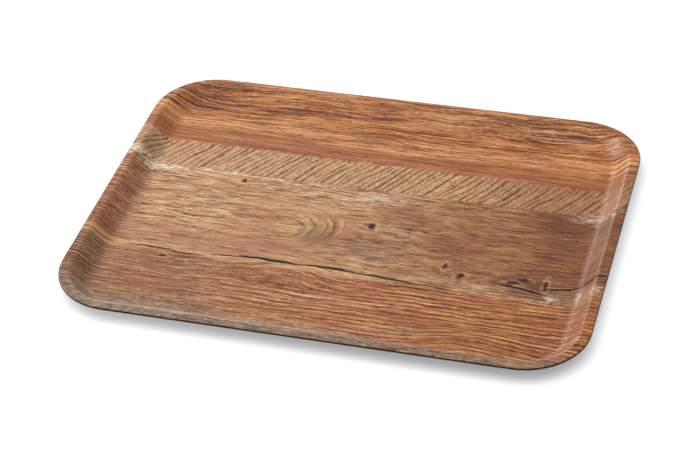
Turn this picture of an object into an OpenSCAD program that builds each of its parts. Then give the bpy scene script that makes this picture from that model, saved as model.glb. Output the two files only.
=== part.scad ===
// Serving tray of pressed paper laminate.
// A stack of resin-soaked paper sheets is pressed hot into one dished board: a clear wear
// overlay, a printed wood-pattern sheet, dark kraft core sheets and a backing sheet.
// The outline is then milled, so that every sheet ends in the same cut edge.
// Millimetres, +Z up, X along the tray's length. The origin is the centre of the underside.

/* [Outline] */
// Length of the milled rim outline, along X
tray_length = 430; // [300:1:600]
// Width of the milled rim outline, along Y
tray_width = 327; // [240:1:450]
// Overall height, from the underside to the top of the rim
tray_height = 15; // [14:0.5:18]
// Plan radius of the rim's four corners
corner_radius = 52.5; // [45:0.5:80]

/* [Wall] */
// Width of the level rim, from the cut edge to the start of the shoulder
rim_width = 6.5; // [4:0.5:9]
// Slope of the wall above the horizontal, in degrees
wall_angle = 45; // [40:1:60]
// Radius of the shoulder between rim and wall, on the top surface
shoulder_radius = 5; // [4:0.5:8]
// Radius of the fillet between wall and floor, on the top surface
fillet_radius = 10; // [6:0.5:12]
// Radius that the mill leaves on both arrises of the cut edge, at most half the board
arris_radius = 1; // [0.4:0.1:1.2]

/* [Sheets] */
// Thickness of the clear melamine wear overlay
overlay_thickness = 0.1; // [0.05:0.01:0.2]
// Thickness of the printed wood-pattern sheet
decor_thickness = 0.15; // [0.1:0.01:0.2]
// Thickness of one phenolic kraft core sheet
core_thickness = 0.22; // [0.18:0.01:0.26]
// Number of kraft core sheets
core_count = 9; // [6:1:10]
// Thickness of the dark backing sheet under the tray
backing_thickness = 0.17; // [0.1:0.01:0.2]

/* [Hidden] */
$fn = 96;
CORE_NODES = [for (i = [1:core_count]) str("core_sheet_", i)];

// Depths below the top surface at which each kind of sheet begins.
decor_top = overlay_thickness;
core_top = decor_top + decor_thickness;
backing_top = core_top + core_count * core_thickness;
board_thickness = backing_top + backing_thickness;
edge_radius = min(arris_radius, board_thickness / 2);

// The wall's section, measured outwards from the centre of a rim corner.
radii_sum = shoulder_radius + fillet_radius;
wall_drop = tray_height - board_thickness;
wall_length = (wall_drop - radii_sum * (1 - cos(wall_angle))) / sin(wall_angle);
wall_run = radii_sum * sin(wall_angle) + wall_length * cos(wall_angle);
shoulder_x = corner_radius - rim_width;
floor_x = shoulder_x - wall_run;
straight_x = tray_length - 2 * corner_radius;
straight_y = tray_width - 2 * corner_radius;
bend_steps = 8; // straight steps in the section of each bend

// Points along an arc, from one angle to another.
function arc(centre, radius, from, to) =
    [for (i = [0:bend_steps]) let(a = from + (to - from) * i / bend_steps)
        centre + radius * [cos(a), sin(a)]];

// How far the milled arris sets the cut edge back, at a distance from the board's nearer face.
function set_back(distance) =
    distance < edge_radius ? edge_radius - sqrt(pow(edge_radius, 2) - pow(edge_radius - distance, 2)) : 0;

// Section of the face at a depth below the tray's top surface, from the floor out to the cut edge.
function face_line(depth) = concat(
    [[0, board_thickness - depth]],
    arc([floor_x, board_thickness + fillet_radius], fillet_radius + depth, -90, wall_angle - 90),
    arc([shoulder_x, tray_height - shoulder_radius], shoulder_radius - depth, 90 + wall_angle, 90),
    [[corner_radius - set_back(min(depth, board_thickness - depth)), tray_height - depth]]);

function reversed(points) = [for (i = [len(points) - 1:-1:0]) points[i]];

// Section of one sheet, between two depths below the tray's top surface.
module sheet_section(top, bottom) {
    polygon(concat(face_line(top), reversed(face_line(bottom))));
}

// One pressed sheet of the stack: four corners, four sides and the middle of the floor.
module sheet(top, bottom) {
    for (sx = [-1, 1], sy = [-1, 1])
        translate([sx * straight_x / 2, sy * straight_y / 2, 0])
            rotate([0, 0, sx > 0 ? (sy > 0 ? 0 : 270) : (sy > 0 ? 90 : 180)])
                rotate_extrude(angle = 90) sheet_section(top, bottom);
    for (side = [0, 1]) rotate([0, 0, 180 * side]) {
        translate([straight_x / 2, straight_y / 2, 0]) rotate([90, 0, 0])
            linear_extrude(height = straight_y) sheet_section(top, bottom);
        translate([-straight_x / 2, straight_y / 2, 0]) rotate([90, 0, 90])
            linear_extrude(height = straight_x) sheet_section(top, bottom);
    }
    translate([-straight_x / 2, -straight_y / 2, board_thickness - bottom])
        cube([straight_x, straight_y, bottom - top]);
}

// Clear wear layer that carries the load and the dishwasher.
module top_overlay() {
    color([1, 0.97, 0.9, 0.3]) sheet(0, decor_top);
}

// Printed paper with the reclaimed-plank pattern.
module decor_sheet() {
    color("peru") sheet(decor_top, core_top);
}

// One of the kraft core sheets, counted from the top.
module core_sheet(i) {
    color([0.17, 0.11, 0.08])
        sheet(core_top + (i - 1) * core_thickness, core_top + i * core_thickness);
}

// Dark melamine-faced sheet that balances the stack and forms the underside.
module backing_sheet() {
    color([0.08, 0.07, 0.065]) sheet(backing_top, board_thickness);
}

top_overlay();
decor_sheet();
for (i = [1:core_count])
    core_sheet(i);
backing_sheet();
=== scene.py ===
"""Looks of the pressed-laminate serving tray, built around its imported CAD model.

Lengths are in metres, in the frame's own axes. The print's shader works in millimetres on the
flat sheet, as it was before pressing, with the origin at the tray's centre.
"""
import math

import bpy
from mathutils import Matrix, Vector


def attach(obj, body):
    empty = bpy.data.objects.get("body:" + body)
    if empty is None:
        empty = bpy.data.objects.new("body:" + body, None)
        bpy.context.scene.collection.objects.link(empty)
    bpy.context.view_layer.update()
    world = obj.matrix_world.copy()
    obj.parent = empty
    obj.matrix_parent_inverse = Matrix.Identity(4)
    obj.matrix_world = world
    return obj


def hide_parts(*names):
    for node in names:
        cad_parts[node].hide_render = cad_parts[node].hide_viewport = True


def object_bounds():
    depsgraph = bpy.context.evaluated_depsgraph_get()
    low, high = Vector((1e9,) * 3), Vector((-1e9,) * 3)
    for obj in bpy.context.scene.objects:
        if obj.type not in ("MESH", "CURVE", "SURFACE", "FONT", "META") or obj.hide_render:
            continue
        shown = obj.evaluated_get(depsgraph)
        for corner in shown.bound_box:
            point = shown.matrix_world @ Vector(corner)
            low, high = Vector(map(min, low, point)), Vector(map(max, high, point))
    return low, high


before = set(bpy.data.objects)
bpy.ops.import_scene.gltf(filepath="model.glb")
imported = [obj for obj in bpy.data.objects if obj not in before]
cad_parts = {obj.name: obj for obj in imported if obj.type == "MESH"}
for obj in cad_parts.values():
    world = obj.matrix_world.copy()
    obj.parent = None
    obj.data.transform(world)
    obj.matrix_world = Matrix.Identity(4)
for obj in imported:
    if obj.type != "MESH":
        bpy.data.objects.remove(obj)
cad_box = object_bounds()

# ---------------------------------------------------------------- sizes of the pressed board
MM = 0.001
LENGTH = cad_box[1][0] - cad_box[0][0]
WIDTH = cad_box[1][1] - cad_box[0][1]
HEIGHT = cad_box[1][2]
BOARD = 2.4 * MM
OVERLAY_AND_PRINT = 0.25 * MM
BACKING = 0.17 * MM
CORNER = 52.5 * MM
RIM = 6.5 * MM
SHOULDER = 5 * MM
FILLET = 10 * MM
ARRIS = 1 * MM
WALL = math.radians(45)

BENDS = SHOULDER + FILLET
WALL_LENGTH = (HEIGHT - BOARD - BENDS * (1 - math.cos(WALL))) / math.sin(WALL)
SHOULDER_X = CORNER - RIM
FLOOR_X = SHOULDER_X - BENDS * math.sin(WALL) - WALL_LENGTH * math.cos(WALL)
SPINE = Vector((LENGTH / 2 - CORNER, WIDTH / 2 - CORNER))


# ---------------------------------------------------------------- meshes of the two faces
CORNER_STEPS, EDGE_STEPS = 20, 4
GRID_X, GRID_Y = 64, 44


def arc(centre, radius, start, end, steps):
    """Points along an arc in the section plane, angles in degrees."""
    angles = [math.radians(start + (end - start) * i / steps) for i in range(steps + 1)]
    return [(centre[0] + radius * math.cos(a), centre[1] + radius * math.sin(a)) for a in angles]


def between(a, b, steps):
    """Points strictly between two points."""
    return [tuple(p + (q - p) * i / steps for p, q in zip(a, b)) for i in range(1, steps)]


def set_back(distance):
    """How far the milled arris sets the edge back, this far from the board's nearer face."""
    return ARRIS - math.sqrt(ARRIS ** 2 - (ARRIS - distance) ** 2) if distance < ARRIS else 0.0


def section(depth):
    """Section of the face at a depth below the top surface, from a corner's centre out to the edge."""
    wall = math.degrees(WALL)
    fillet = arc((FLOOR_X, BOARD + FILLET), FILLET + depth, -90, wall - 90, 12)
    shoulder = arc((SHOULDER_X, HEIGHT - SHOULDER), SHOULDER - depth, 90 + wall, 90, 12)
    centre = (0.0, BOARD - depth)
    edge = (CORNER - set_back(min(depth, BOARD - depth)), HEIGHT - depth)
    return (between(centre, fillet[0], 6) + fillet + between(fillet[-1], shoulder[0], 5)
            + shoulder + between(shoulder[-1], edge, 3) + [edge])


def unrolled(points):
    """Distance of each section point from the corner's centre along the sheet."""
    lengths = [points[0][0]]
    for a, b in zip(points, points[1:]):
        lengths.append(lengths[-1] + math.dist(a, b))
    return lengths


def around():
    """Stations round the tray: the spine point and outward direction of each, counter-clockwise."""
    stations = []
    corners = [(1, 1, 0), (-1, 1, 90), (-1, -1, 180), (1, -1, 270)]
    for i, (sx, sy, start) in enumerate(corners):
        spine = Vector((sx * SPINE.x, sy * SPINE.y))
        for k in range(CORNER_STEPS + 1):
            angle = math.radians(start + 90 * k / CORNER_STEPS)
            stations.append((spine, Vector((math.cos(angle), math.sin(angle)))))
        nx, ny, _ = corners[(i + 1) % 4]
        ahead = Vector((nx * SPINE.x, ny * SPINE.y))
        steps = GRID_X if i % 2 == 0 else GRID_Y
        side = Vector((0, sy)) if i % 2 == 0 else Vector((sx, 0))
        for k in range(1, steps):
            stations.append((spine.lerp(ahead, k / steps), side))
    return stations


class Skin:
    """Vertices, faces and flat-sheet coordinates of one piece as it grows."""

    def __init__(self):
        self.points, self.flat, self.faces = [], [], []

    def add(self, x, y, z, u, v):
        self.points.append((x, y, z))
        self.flat.append((u, v))
        return len(self.points) - 1

    def dish(self, path, up=True):
        """One whole face of the board; returns its outermost loop."""
        lengths = unrolled(path)
        level = path[0][1]
        grid = [[self.add(SPINE.x * (2 * i / GRID_X - 1), SPINE.y * (2 * j / GRID_Y - 1), level,
                          SPINE.x * (2 * i / GRID_X - 1), SPINE.y * (2 * j / GRID_Y - 1))
                 for i in range(GRID_X + 1)] for j in range(GRID_Y + 1)]
        faces = [(grid[j][i], grid[j][i + 1], grid[j + 1][i + 1], grid[j + 1][i])
                 for j in range(GRID_Y) for i in range(GRID_X)]
        stations = around()
        inner = []
        for spine, _ in stations:
            i = round((spine.x / SPINE.x + 1) / 2 * GRID_X)
            j = round((spine.y / SPINE.y + 1) / 2 * GRID_Y)
            inner.append(grid[j][i])
        loop = inner
        for (r, z), s in zip(path, lengths):
            ring = [self.add(*(p + d * r), z, *(p + d * s)) for p, d in stations]
            for a in range(len(ring)):
                b = (a + 1) % len(ring)
                quad = (loop[a], ring[a], ring[b], loop[b])
                faces.append(tuple(dict.fromkeys(quad)))
            loop = ring
        self.faces += faces if up else [f[::-1] for f in faces]
        return loop

    def bridge(self, upper, lower):
        """Edge strip between the outermost loops of two faces."""
        for a in range(len(upper)):
            b = (a + 1) % len(upper)
            self.faces.append((upper[a], lower[a], lower[b], upper[b]))

    def piece(self, name, node_names):
        mesh = bpy.data.meshes.new(name)
        mesh.from_pydata(self.points, [], self.faces)
        flat = mesh.uv_layers.new(name="flat_sheet")
        for loop in mesh.loops:
            flat.data[loop.index].uv = self.flat[loop.vertex_index]
        mesh.validate()
        mesh.shade_smooth()
        mesh.set_sharp_from_angle(angle=math.radians(50))
        obj = bpy.data.objects.new(name, mesh)
        bpy.context.scene.collection.objects.link(obj)
        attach(obj, "root")
        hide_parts(*node_names)
        return obj


def layer(name, top, bottom, node_names):
    """A closed sheet between two depths below the tray's top surface, with a rounded cut edge."""
    skin = Skin()
    upper_path = section(top)
    upper = skin.dish(upper_path)
    stations = around()
    first = unrolled(upper_path)[-1]
    for i in range(1, EDGE_STEPS):
        depth = top + (bottom - top) * i / EDGE_STEPS
        r, z = section(depth)[-1]
        s = first + depth - top
        ring = [skin.add(*(p + d * r), z, *(p + d * s)) for p, d in stations]
        skin.bridge(upper, ring)
        upper = ring
    skin.bridge(upper, skin.dish(section(bottom), up=False))
    return skin.piece(name, node_names)


# ---------------------------------------------------------------- a small language for shaders
class Value:
    """A number or colour in a shader graph; arithmetic on it adds Math nodes."""

    def __init__(self, graph, socket):
        self.graph, self.socket = graph, socket

    def __add__(self, other):
        return self.graph.math("ADD", self, other)

    def __sub__(self, other):
        return self.graph.math("SUBTRACT", self, other)

    def __rsub__(self, other):
        return self.graph.math("SUBTRACT", other, self)

    def __mul__(self, other):
        return self.graph.math("MULTIPLY", self, other)

    def __truediv__(self, other):
        return self.graph.math("DIVIDE", self, other)

    __radd__, __rmul__ = __add__, __mul__


class Graph:
    """One material and short calls that add nodes to it."""

    def __init__(self, name):
        self.material = bpy.data.materials.new(name)
        self.material.use_nodes = True
        self.tree = self.material.node_tree
        self.shader = self.tree.nodes["Principled BSDF"]

    def put(self, socket, value):
        if isinstance(value, Value):
            self.tree.links.new(value.socket, socket)
        elif isinstance(value, tuple) and len(value) == 3 and socket.type == "RGBA":
            socket.default_value = (*value, 1)
        else:
            socket.default_value = value

    def node(self, kind, inputs=(), output=0, **settings):
        made = self.tree.nodes.new(kind)
        for key, value in settings.items():
            setattr(made, key, value)
        for key, value in dict(inputs).items():
            self.put(made.inputs[key], value)
        return Value(self, made.outputs[output])

    def math(self, operation, *values, clamp=False):
        return self.node("ShaderNodeMath", dict(enumerate(values)), operation=operation, use_clamp=clamp)

    def smooth(self, value, low, high):
        """0 below low and 1 above high, smooth between; the other way round if low is above high."""
        inputs = {"Value": value, "From Min": low, "From Max": high}
        return self.node("ShaderNodeMapRange", inputs, interpolation_type="SMOOTHSTEP")

    def noise(self, x, y, detail=2.0, roughness=0.5, seed=0):
        """Noise from 0 to 1 whose patches are about one unit of x by one unit of y."""
        where = self.node("ShaderNodeCombineXYZ", {"X": x + 19.7 * seed, "Y": y + 7.3 * seed})
        inputs = {"Vector": where, "Scale": 1.0, "Detail": detail, "Roughness": roughness}
        return self.node("ShaderNodeTexNoise", inputs, noise_dimensions="2D")

    def mix(self, a, b, factor, blend="MIX"):
        made = self.tree.nodes.new("ShaderNodeMix")
        made.data_type = "RGBA"
        made.blend_type = blend
        self.put(made.inputs["Factor"], factor)
        self.put(made.inputs[6], a)
        self.put(made.inputs[7], b)
        return Value(self, made.outputs[2])

    def blend(self, a, b, factor):
        """a where factor is 0 and b where it is 1, for numbers."""
        return self.node("ShaderNodeMix", {0: factor, 2: a, 3: b}, data_type="FLOAT")

    def ramp(self, value, stops):
        made = self.tree.nodes.new("ShaderNodeValToRGB")
        ramp = made.color_ramp
        while len(ramp.elements) < len(stops):
            ramp.elements.new(0.5)
        for element, (position, colour) in zip(ramp.elements, stops):
            element.position = position
            element.color = (*colour, 1)
        self.put(made.inputs[0], value)
        return Value(self, made.outputs[0])

    def flat_sheet(self):
        """Millimetres along and across the flat sheet, from the map that the mesh carries."""
        uv = self.node("ShaderNodeUVMap", uv_map="flat_sheet")
        split = self.tree.nodes.new("ShaderNodeSeparateXYZ")
        self.put(split.inputs[0], uv)
        x, y = (Value(self, split.outputs[i]) for i in range(2))
        return x * (1 / MM), y * (1 / MM)

    def bump(self, height_mm, strength=1.0):
        inputs = {"Height": height_mm, "Strength": strength, "Distance": MM}
        self.put(self.shader.inputs["Normal"], self.node("ShaderNodeBump", inputs))

    def finish(self, **sockets):
        for name, value in sockets.items():
            self.put(self.shader.inputs[name.replace("_", " ")], value)
        return self.material


def srgb(red, green, blue):
    """Linear colour from the 0 to 255 values that a screen shows."""
    return tuple(((c / 255 + 0.055) / 1.055) ** 2.4 for c in (red, green, blue))


# ---------------------------------------------------------------- the printed planks
def ink(red, green, blue):
    """Print colour that shows about as the given screen colour under the studio's light."""
    gain, gloss = 0.71, 0.024
    return tuple(max(0.0, c * gain - gloss) for c in srgb(red, green, blue))


CREAM = ink(246, 230, 202)
CRACK = ink(40, 28, 22)

# Across the flat sheet, in millimetres: the sawn band's borders, the seam of the two planks in
# front of it, and the line that the cracks along that seam follow.
SAW_TOP, SAW_LOW, SEAM, CRACK_LINE = 82, 46, -71, -65

# Distances between neighbouring lines of the print, in millimetres.
RING_PITCH, WALL_LINE_PITCH, SAW_PITCH, FINE_SAW_PITCH = 4.7, 3.3, 5.2, 2.3

# Where the arcs in the middle plank have their common centre, in millimetres.
ARCS_X, ARCS_Y = -75, -22

# Brings the middle of the noise's range out to about -1 to 1.
GRAIN_GAIN = 6.2

# Width of the pale lips along a crack, in millimetres.
LIP = 0.8

# Open cracks in the print: start x, y, end x, y, half width and sag, in millimetres.
CRACKS = [
    (-182, -66.0, -132, -67.2, 1.1, 0.5),
    (-148, -70.6, -108, -68.0, 1.1, 0.4),
    (-112, -66.6, -62, -62.6, 0.9, 0.2),
    (-86, -62.6, -24, -64.6, 1.8, 0.8),
    (-34, -62.8, 22, -65.2, 1.6, 1.0),
    (6, -64.4, 74, -69.0, 1.4, 0.8),
    (54, -67.0, 104, -70.2, 0.9, 0.3),
    (134, -54.6, 172, -61.0, 1.8, 0.3),
    (162, -53.4, 202, -44.8, 1.4, -1.4),
    (190, -48.0, 232, -40.4, 1.3, 1.0),
    (-196, 128.6, -152, 131.8, 0.7, 0.6),
    (-150, 134.4, -100, 131.2, 0.8, 0.6),
    (-98, 129.6, -32, 119.8, 0.7, -1.5),
    (-50, 117.6, 38, 113.6, 0.7, 1.0),
    (-176, 137.8, -52, 139.6, 0.6, 1.0),
]

# Knots: centre x, y and half length and half width, in millimetres.
KNOTS = [
    (84.0, -41.5, 2.0, 3.6),
    (98.5, -50.8, 3.2, 4.0),
    (-144.0, -75.4, 3.6, 1.4),
    (-109.0, 36.0, 2.6, 2.4),
    (13.5, -3.0, 3.4, 5.0),
    (141.5, -51.0, 5.4, 2.0),
    (149.5, -45.5, 4.6, 1.8),
    (137.0, -54.6, 5.0, 1.8),
    (167.0, -49.0, 1.8, 5.4),
]

# Whitish worn patches: centre x, y, half length, half width and strength.
WORN = [
    (-216, 47.0, 18, 8.0, 1.0),
    (-192, 41.0, 18, 7.0, 1.0),
    (-172, 43.0, 12, 3.5, 1.0),
    (-147, 45.0, 14, 2.2, 1.0),
    (-116, 44.4, 16, 1.9, 0.9),
    (-84, 43.6, 22, 2.0, 0.6),
    (-40, 42.0, 26, 1.8, 0.45),
    (8, 35.0, 26, 9.0, 0.5),
    (173, -64.5, 7, 5.0, 0.65),
    (164, -69.0, 30, 1.6, 0.35),
    (196, -60.0, 4, 8.0, 0.6),
    (212, -60.0, 10, 6.0, 0.5),
    (194, 42.0, 26, 7.0, 0.55),
]

# Grey weathered patches, laid out the same way.
GREY = [
    (-222, -162, 50, 46, 1.0),
    (-140, -168, 110, 44, 1.0),
    (-20, -170, 130, 38, 0.95),
    (68, -126, 30, 7, 0.4),
    (130, -172, 130, 32, 0.8),
    (184, -60, 26, 10, 0.35),
    (118, -64, 34, 5, 0.25),
    (26, -42, 24, 7, 0.5),
    (-205, 62, 24, 14, 0.4),
]


def patch(g, x, y, cx, cy, rx, ry):
    """1 at the centre of an ellipse, 0 at its outline and less outside it."""
    dx, dy = (x - cx) / rx, (y - cy) / ry
    return 1 - g.math("SQRT", dx * dx + dy * dy)


def crack_depth(g, x, y, bend, x0, y0, x1, y1, half, sag):
    """How far inside an open crack a point is, in millimetres; it falls below -LIP past both ends."""
    along = g.math("MULTIPLY_ADD", x, 1 / (x1 - x0), -x0 / (x1 - x0), clamp=True)
    taper = along * (1 - along) * 4
    line = along * (y1 - y0) + y0 + taper * sag + bend
    gap = g.math("ABSOLUTE", y - line)
    return g.math("SQRT", taper) * (half + LIP) - gap - LIP


def strongest(g, masks):
    """The largest of several masks at each point."""
    most = masks[0]
    for mask in masks[1:]:
        most = g.math("MAXIMUM", most, mask)
    return most


class Planks:
    """The reclaimed-plank print at each point x, y of the flat sheet."""

    def __init__(self, g, x, y):
        self.g, self.x, self.y = g, x, y
        self.wander = g.noise(x / 70, y / 30, 2, 0.5, seed=1) - 0.5
        self.quiver = g.noise(x / 9, y / 3, 2, 0.55, seed=2) - 0.5
        self.line = self.grain_line()
        self.fibre = self.grain(self.line, 15, 0.8, seed=4)
        self.hair = self.grain(self.line, 42, 1.4, seed=18)
        self.flick = self.grain(self.line, 24, 2.2, seed=19)
        self.broad = self.grain(self.line, 130, 7, seed=3)
        self.grit = self.grain(self.line, 4.5, 1.3, seed=35)
        self.cloud = g.noise(x / 60, y / 20, 2, 0.5, seed=7)
        self.speck = (g.noise(x / 6, y / 1.6, 4, 0.65, seed=15) - 0.5) * 2
        # across and along the slanting saw marks
        self.hatch = x * 0.84 - y * 0.54 + self.quiver * 1.6 + self.wander * 5
        self.along = x * 0.54 + y * 0.84

    def grain(self, line, length, pitch, seed):
        """Streaks of a length and pitch in millimetres, from about -1 to 1."""
        return (self.g.noise(self.x / length, line / pitch, 5, 0.68, seed=seed) - 0.5) * GRAIN_GAIN

    def waves(self, phase, power):
        """Parallel lines, 1 at their middles, thinner at a higher power."""
        return self.g.math("POWER", self.g.math("SINE", phase) * 0.5 + 0.5, power)

    def hill(self, reach):
        """1 where reach is 0, falling off as a bell."""
        return self.g.math("EXPONENT", reach * reach * -1)

    def near(self, cx, cy, rx, ry, full):
        """0 outside an ellipse, rising inwards to 1 where patch() reaches full."""
        return self.g.smooth(patch(self.g, self.x, self.y, cx, cy, rx, ry), 0.0, full)

    def grain_line(self):
        """Height across the sheet of the grain line through a point, bent round knots and humps."""
        g, x, y = self.g, self.x, self.y
        bell = g.math("MAXIMUM", (x + 46) * (-1 / 48), (x + 46) * (1 / 36))
        hump = self.hill(bell) * g.smooth(y, -106, -80) * g.smooth(y, -50, -66) * 10
        low_hump = self.hill((x - 125) / 45) * g.smooth(y, -102, -122) * 7
        line = y - hump - low_hump + self.wander * 7 + self.quiver * 1.5
        for cx, cy, rx, ry in KNOTS:
            line = line - self.near(cx, cy, rx * 5, ry * 3, 1.0) * (y - cy) * 0.7
        return line

    def back_plank(self):
        """Long dark streaks, darker towards the back edge and redder by the saw marks."""
        g, x, y = self.g, self.x, self.y
        streak = self.grain(self.line, 120, 2.0, seed=5)
        lighter = g.smooth(y, 126, 116) * g.smooth(y, 100, 106) * 0.07
        shaded = g.smooth(y, 121, 129) * (0.05 + g.smooth(x, -60, -140) * 0.07)
        tone = 0.54 + lighter - shaded + streak * 0.28 + self.broad * 0.15
        tone = tone + self.hair * 0.2 + self.fibre * 0.2 + self.grit * 0.12
        colour = g.ramp(tone, [
            (0.05, ink(82, 42, 18)), (0.3, ink(138, 80, 40)), (0.5, ink(184, 118, 68)),
            (0.72, ink(216, 150, 96)), (0.95, ink(240, 184, 128))])
        reddish = g.smooth(y + self.wander * 14, 108, 96)
        return g.mix(colour, ink(150, 84, 54), reddish * 0.55)

    def middle_figure(self):
        """Short fine figure, with arcs that open to the left."""
        g, x, y = self.g, self.x, self.y
        reach_x = g.math("MAXIMUM", x - ARCS_X, 0.0) * 0.6
        reach_y = g.math("MAXIMUM", y - ARCS_Y, (y - ARCS_Y) * -1.7)
        arcs = g.math("SQRT", reach_x * reach_x + reach_y * reach_y)
        arcs = arcs + self.wander * 14 + self.quiver * 2
        in_arcs = g.smooth(arcs, 50, 36) * g.smooth(arcs, 10, 24) * g.smooth(x, -78, -34)
        straight = self.hair * 0.3 + self.fibre * 0.3 + self.flick * 0.16 + self.grit * 0.14
        curved = self.grain(arcs, 40, 1.2, seed=31) * 0.22 + self.grain(arcs, 22, 3.2, seed=32) * 0.14
        return g.blend(straight, curved, in_arcs) + self.broad * 0.1

    def middle_plank(self):
        """Pale at the left, darker brown to the right (partly painted shade), with shading round its
        arcs.
        """
        g, x, y = self.g, self.x, self.y
        colour = g.ramp(0.5 + self.middle_figure(), [
            (0.05, ink(100, 60, 34)), (0.3, ink(154, 106, 70)), (0.5, ink(194, 148, 108)),
            (0.7, ink(220, 176, 132)), (0.95, ink(244, 208, 162))])
        colour = g.mix(colour, ink(170, 110, 70), g.smooth(self.cloud, 0.45, 0.7) * 0.4)
        lower_left = g.smooth(y, -28, -48) * g.smooth(x, -10, -60)
        colour = g.mix(colour, ink(160, 104, 76), lower_left * 0.4)
        by_seam = g.smooth(y, -66, -48) * 0.6 + 0.4
        # Darker towards the right and more so at the far right: partly the plank's browner tone and
        # partly painted shade.
        colour = g.mix(colour, (0.62, 0.46, 0.29), g.smooth(x, -50, 115) * by_seam, "MULTIPLY")
        colour = g.mix(colour, (0.74, 0.58, 0.38), g.smooth(x, 120, 170), "MULTIPLY")
        # Painted shade in part: a darker ellipse to the right of the arcs, the rest the plank's own
        # tone.
        shade_and_tone_beyond_arcs = self.near(14, -26, 52, 26, 0.7)
        colour = g.mix(colour, (0.74, 0.66, 0.6), shade_and_tone_beyond_arcs, "MULTIPLY")
        core_shadow = self.near(-30, -24, 26, 20, 0.8)
        colour = g.mix(colour, ink(112, 76, 50), core_shadow * 0.5)
        # Darker patch round the knot cluster: partly the print's dark halo round the knots, partly a
        # painted cast shadow.
        knot_halo_and_painted_shade = g.smooth(patch(g, x, y, 146, -52, 30, 13) + self.cloud, 0.5, 1.1)
        colour = g.mix(colour, (0.66, 0.56, 0.48), knot_halo_and_painted_shade, "MULTIPLY")
        golden = self.near(-3, -13, 13, 12, 0.8)
        return g.mix(colour, ink(206, 146, 88), golden * 0.4)

    def front_plank(self):
        """Yearly rings, clearest to the right."""
        g, x = self.g, self.x
        turn = self.line * (2 * math.pi / RING_PITCH) + self.grain(self.line, 110, 9, seed=8) * 1.4
        clear = g.smooth(x + self.wander * 120, -90, 60) * 0.45 + 0.4
        thread = self.grain(self.line, 95, 1.5, seed=34)
        tone = 0.59 + thread * 0.2 + self.hair * 0.16 + self.fibre * 0.24
        tone = tone + self.grit * 0.13 + self.broad * 0.1 - self.waves(turn, 2.2) * clear * 0.48
        colour = g.ramp(tone, [
            (0.02, ink(84, 46, 24)), (0.28, ink(136, 84, 52)), (0.5, ink(174, 114, 76)),
            (0.7, ink(204, 146, 102)), (0.95, ink(232, 184, 138))])
        colour = g.mix(colour, (0.76, 0.82, 0.92), g.smooth(x, -40, -120), "MULTIPLY")
        colour = g.mix(colour, (1.06, 0.96, 0.7), g.smooth(x, -50, 110), "MULTIPLY")
        return g.mix(colour, ink(156, 84, 56), g.smooth(self.cloud, 0.5, 0.72) * 0.35)

    def wall_lines(self):
        """Dense dark lines where the sheet climbs the left wall."""
        phase = (self.y + self.wander * 4) * (2 * math.pi / WALL_LINE_PITCH) + self.hair * 0.5
        return self.g.smooth(self.x, -180, -194) * self.waves(phase, 2.5) * 0.8

    def saw_marks(self):
        """Slanting marks of a coarse saw, from dark cuts below 0 to bright fibres above."""
        g, x, y = self.g, self.x, self.y
        drift = g.noise(self.hatch / 11, self.along / 60, 2, 0.5, seed=10) - 0.5
        cut = self.waves(self.hatch * (2 * math.pi / SAW_PITCH) + drift * 9, 3.0)
        fine = g.math("SINE", self.hatch * (2 * math.pi / FINE_SAW_PITCH) + drift * 12)
        bite = g.smooth(g.noise(self.hatch / 6, self.along / 50, 2, 0.55, seed=11), 0.2, 0.66)
        cross = (g.noise(x / 2.6, y / 1.1, 2, 0.6, seed=12) - 0.5) * 4
        blotch = (g.noise(x / 9, y / 6, 2, 0.5, seed=33) - 0.5) * 4
        return cross * 0.2 + fine * 0.09 + blotch * 0.1 - cut * bite * 0.5

    def sawn_band(self, marks):
        """The sawn band's colour, browner to the right."""
        g = self.g
        colour = g.ramp(marks + 0.64, [
            (0.05, ink(86, 48, 22)), (0.3, ink(142, 94, 58)), (0.52, ink(184, 138, 98)),
            (0.74, ink(214, 172, 128)), (0.95, ink(242, 212, 172))])
        return g.mix(colour, (0.76, 0.62, 0.5), g.smooth(self.x, 60, 150), "MULTIPLY")

    def joined(self, marks):
        """The four bands side by side, and 1 inside the sawn band."""
        g, x, y = self.g, self.x, self.y
        lines = self.wall_lines()
        middle = self.middle_plank()
        # Painted shade: the middle plank darker and browner where it climbs the left wall, which faces
        # away from the light.
        middle = g.mix(middle, (0.92, 0.7, 0.52), g.smooth(x, -184, -200), "MULTIPLY")
        middle = g.mix(middle, ink(88, 50, 28), lines)
        front = g.mix(self.front_plank(), ink(74, 42, 28), lines)
        saw_top = SAW_TOP + (g.noise(self.hatch / 4, self.along / 90, 2, 0.6, seed=13) - 0.5) * 9
        saw_low = SAW_LOW + (g.noise(x / 12, x * 0, 3, 0.6, seed=14) - 0.5) * 5
        seam = SEAM + self.wander * 4
        in_saw = g.smooth(y - saw_low, -0.6, 0.6) * g.smooth(y - saw_top, 1.0, -1.0)
        colour = g.mix(middle, self.back_plank(), g.smooth(y - saw_top, -1.0, 1.0))
        colour = g.mix(colour, self.sawn_band(marks), in_saw)
        return g.mix(colour, front, g.smooth(y - seam, 1.0, -1.0)), in_saw

    def patches(self, table, ragged, low, high):
        """Mask of a table's patches, with outlines broken up by specks."""
        g = self.g
        return strongest(g, [
            g.smooth(patch(g, self.x, self.y, *where) + self.speck * ragged, low, high) * strength
            for *where, strength in table])

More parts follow.
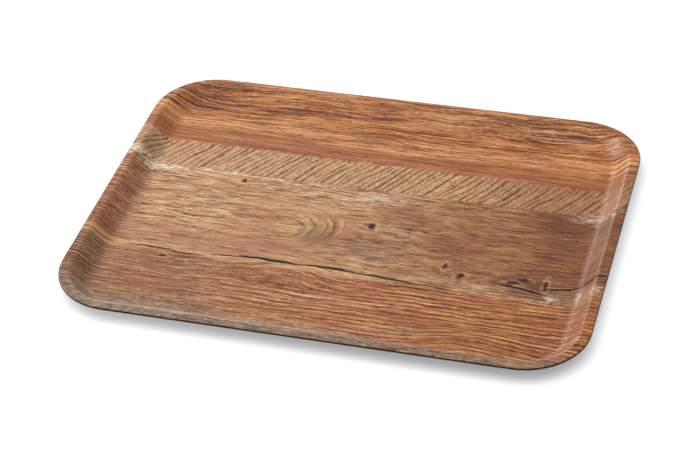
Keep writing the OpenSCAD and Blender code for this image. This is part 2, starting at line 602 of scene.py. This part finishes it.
    def aged(self, colour):
        """Grey weathering, worn patches and the pale edge along the seam."""
        g = self.g
        tone = 0.48 + self.hair * 0.18 + self.fibre * 0.2 + self.grit * 0.14 + self.speck * 0.6
        weathered = g.ramp(tone, [
            (0.05, ink(62, 48, 38)), (0.5, ink(140, 115, 95)), (0.95, ink(202, 178, 152))])
        colour = g.mix(colour, weathered, self.patches(GREY, 0.9, -0.1, 0.5) * 0.9)
        broken = g.smooth(self.fibre + self.speck * 1.5, -0.9, 0.4)
        colour = g.mix(colour, CREAM, self.patches(WORN, 1.9, 0.1, 0.8) * broken)
        from_cracks = g.math("ABSOLUTE", self.y - CRACK_LINE)
        halo = g.smooth(from_cracks, 7.5, 1) * g.smooth(self.x, 100, 30) * 0.65
        return g.mix(colour, ink(236, 186, 126), halo * g.smooth(self.hair + self.flick, -1.0, 1.0))

    def damage(self, colour):
        """Cracks and knots, each with pale lips; returns the colour and the mask of the dark cores."""
        g, x, y = self.g, self.x, self.y
        bend = (g.noise(x / 16, x * 0, 1, 0.5, seed=16) - 0.5) * 2.4 + self.quiver * 0.8
        inside = strongest(g, [crack_depth(g, x, y, bend, *crack) for crack in CRACKS])
        near_knot = strongest(g, [patch(g, x, y, *where) for where in KNOTS]) + self.speck * 1.6
        lips = g.math("MAXIMUM", g.smooth(inside, -LIP, -0.3), g.smooth(near_knot, -1.5, -0.5))
        speckled = g.smooth(self.speck + self.flick, -0.5, 0.7)
        colour = g.mix(colour, ink(222, 168, 112), lips * speckled * 0.65)
        knot = g.smooth(near_knot, -0.4, 0.5)
        colour = g.mix(colour, ink(84, 54, 34), knot * 0.85)
        dark = g.math("MAXIMUM", g.smooth(inside, -0.1, 0.4), g.smooth(knot, 0.5, 1.0) * 0.9)
        return g.mix(colour, CRACK, dark), dark


def print_material():
    """Melamine-faced print: the planks under a clear satin skin."""
    g = Graph("printed_planks")
    x, y = g.flat_sheet()
    planks = Planks(g, x, y)
    marks = planks.saw_marks()
    colour, in_saw = planks.joined(marks)
    colour, dark = planks.damage(planks.aged(colour))
    press = g.noise(x / 2.2, y / 2.2, 1, 0.5, seed=17)
    height = marks * in_saw * 0.16 + (planks.fibre + planks.hair) * 0.012 - dark * 0.06
    g.bump(height + (press - 0.5) * 0.01, strength=0.6)
    return g.finish(Base_Color=colour, Roughness=0.4 + dark * 0.4, IOR=1.5,
                    Specular_IOR_Level=0.42)


def kraft_material(name, tone):
    """Resin-soaked kraft sheet, seen at the milled edge, a shade apart from its neighbours."""
    g = Graph(name)
    where = g.node("ShaderNodeTexCoord", output=3)
    inputs = {"Vector": where, "Scale": 900.0, "Detail": 3.0, "Roughness": 0.6}
    grain = g.node("ShaderNodeTexNoise", inputs)
    colour = g.ramp(grain, [(0.3, tuple(tone * c for c in srgb(16, 12, 10))),
                            (0.7, tuple(tone * c for c in srgb(36, 27, 22)))])
    g.bump((grain - 0.5) * 0.03)
    return g.finish(Base_Color=colour, Roughness=0.6 + grain * 0.25, IOR=1.52, Specular_IOR_Level=0.2)


def backing_material():
    """Dark melamine underside with a fine pressed grain."""
    g = Graph("dark_backing")
    x, y = g.flat_sheet()
    leather = g.noise(x / 0.9, y / 0.9, 3, 0.6, seed=21)
    cloud = g.noise(x / 45, y / 45, 3, 0.5, seed=22)
    colour = g.ramp(cloud, [(0.3, srgb(50, 45, 42)), (0.7, srgb(64, 58, 54))])
    scuff = g.smooth(g.noise(x / 60, y / 0.8, 3, 0.7, seed=23), 0.62, 0.74)
    colour = g.mix(colour, srgb(96, 90, 86), scuff * 0.35)
    g.bump((leather - 0.5) * 0.05, strength=0.7)
    return g.finish(Base_Color=colour, Roughness=0.5 + scuff * 0.12, IOR=1.5)


# ---------------------------------------------------------------- the pieces
printed_face = layer("printed_face", 0.0, OVERLAY_AND_PRINT,
                     ["top_overlay", "decor_sheet"])
printed_face.data.materials.append(print_material())
backing_face = layer("backing_face", BOARD - BACKING, BOARD, ["backing_sheet"])
backing_face.data.materials.append(backing_material())

core_names = sorted(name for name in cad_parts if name.startswith("core_sheet_"))
for i, name in enumerate(core_names):
    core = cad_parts[name]
    core.data.materials.clear()
    core.data.materials.append(kraft_material(name, 0.8 + 0.4 * ((i * 5) % 9) / 8))


# ---------------------------------------------------------------- floor, light and camera
def stage_floor():
    mesh = bpy.data.meshes.new("studio_floor")
    reach = 40 * LENGTH
    mesh.from_pydata([(-reach, -reach, 0), (reach, -reach, 0), (reach, reach, 0), (-reach, reach, 0)],
                     [], [(0, 1, 2, 3)])
    floor = bpy.data.objects.new("studio_floor", mesh)
    bpy.context.scene.collection.objects.link(floor)
    g = Graph("studio_floor")
    floor.data.materials.append(g.finish(Base_Color=(0.94, 0.94, 0.94), Roughness=0.8))


def area_light(name, position, size, power, colour, shadow=True):
    light = bpy.data.lights.new(name, "AREA")
    light.shape = "RECTANGLE"
    light.size, light.size_y = size
    light.energy = power
    light.color = colour
    light.use_shadow = shadow
    lamp = bpy.data.objects.new(name, light)
    lamp.location = position
    aim = Vector((0, 0, 0)) - Vector(position)
    lamp.rotation_euler = aim.to_track_quat("-Z", "Y").to_euler()
    bpy.context.scene.collection.objects.link(lamp)


def studio():
    world = bpy.data.worlds.new("studio")
    world.use_nodes = True
    background = world.node_tree.nodes["Background"]
    background.inputs["Color"].default_value = (0.96, 0.98, 1.0, 1)
    background.inputs["Strength"].default_value = 0.72
    bpy.context.scene.world = world
    area_light("overhead_softbox", (-0.2, -0.4, 1.9), (2.4, 2.1), 23.5, (1.0, 0.985, 0.96))
    area_light("back_panel", (-0.95, 1.85, 0.34), (0.9, 0.6), 8, (0.97, 0.97, 1.0), shadow=False)
    area_light("left_panel", (-1.9, 0.15, 0.8), (0.55, 0.45), 28, (0.97, 0.97, 1.0), shadow=False)
    bpy.context.scene.view_settings.view_transform = "Standard"


def camera():
    """Camera at the photograph's viewing angle: high, a little to the right, long lens.

    Its angles, distance, target and lens are a least-squares perspective fit of the rim's outline,
    taking the tray as 430 mm long, and are rounded.
    """
    azimuth, elevation, roll = (math.radians(a) for a in (17.505, 37.6, 3.37))
    distance = 1.7121
    target = Vector((-0.0022, -0.02774, HEIGHT))
    back = Vector((math.sin(azimuth) * math.cos(elevation), -math.cos(azimuth) * math.cos(elevation),
                   math.sin(elevation)))
    right = Vector((math.cos(azimuth), math.sin(azimuth), 0))
    up = back.cross(right)
    x_axis = math.cos(roll) * right - math.sin(roll) * up
    y_axis = math.sin(roll) * right + math.cos(roll) * up
    data = bpy.data.cameras.new("catalogue_camera")
    data.sensor_width = 36
    data.lens = 110.3
    obj = bpy.data.objects.new("catalogue_camera", data)
    axes = Matrix((x_axis, y_axis, back)).transposed().to_4x4()
    obj.matrix_world = Matrix.Translation(target + back * distance) @ axes
    bpy.context.scene.collection.objects.link(obj)
    bpy.context.scene.camera = obj


stage_floor()
studio()
camera()
